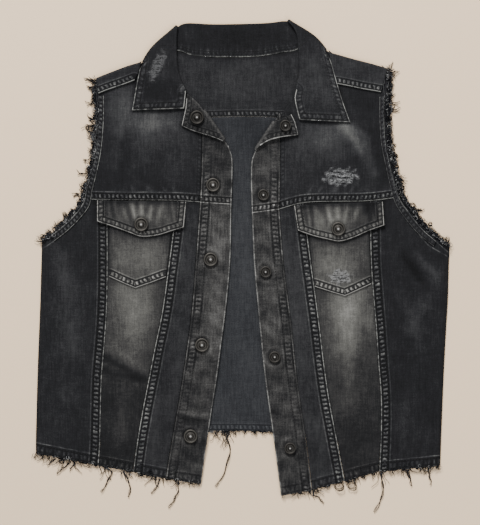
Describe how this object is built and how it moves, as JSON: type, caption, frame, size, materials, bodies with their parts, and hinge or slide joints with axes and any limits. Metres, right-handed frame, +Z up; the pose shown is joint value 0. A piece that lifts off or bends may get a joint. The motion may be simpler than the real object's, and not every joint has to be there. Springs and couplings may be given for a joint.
{
  "type": "cropped sleeveless denim jacket, laid flat",
  "caption": "Cropped sleeveless denim jacket laid flat and open, with folded collar, turned-out front corners, flap pockets, metal snaps and frayed raw edges.",
  "frame": {"origin": "on the surface that the vest lies on, under the middle of the back panel", "axes": "+X to the right as seen from above, +Y from the hem to the collar, +Z up from the surface"},
  "size_m": [0.4756, 0.5663, 0.0108],
  "materials": {
    "denim": "washed black twill",
    "denim_faded": "faded twill",
    "denim_worn": "worn twill",
    "denim_inside": "inside of twill",
    "fray": "loose threads",
    "metal": "dark antique nickel"
  },
  "bodies": {
    "root": {"back_panel": "denim_inside", "back_yoke": "denim", "front_yoke_l": "denim", "front_yoke_r": "denim", "side_panel_l": "denim", "side_panel_r": "denim", "middle_panel_l": "denim_faded", "middle_panel_r": "denim_faded", "centre_panel_l": "denim", "centre_panel_r": "denim", "placket_l": "denim_worn", "placket_r": "denim_worn", "pocket_l": "denim_faded", "pocket_r": "denim_faded", "pocket_flap_l": "denim_faded", "pocket_flap_r": "denim_faded", "armhole_band_l": "denim", "armhole_band_r": "denim", "collar": "denim", "cap_lapel_l": "metal", "cap_1_l": "metal", "cap_2_l": "metal", "cap_3_l": "metal", "cap_4_l": "metal", "cap_flap_l": "metal", "cap_flap_r": "metal", "stud_lapel_r": "metal", "stud_1_r": "metal", "stud_2_r": "metal", "stud_3_r": "metal", "stud_4_r": "metal", "hem_fringe_l": "fray", "hem_fringe_r": "fray", "hem_fringe_back": "fray", "armhole_fringe_l": "fray", "armhole_fringe_r": "fray"}
  },
  "joints": []
}
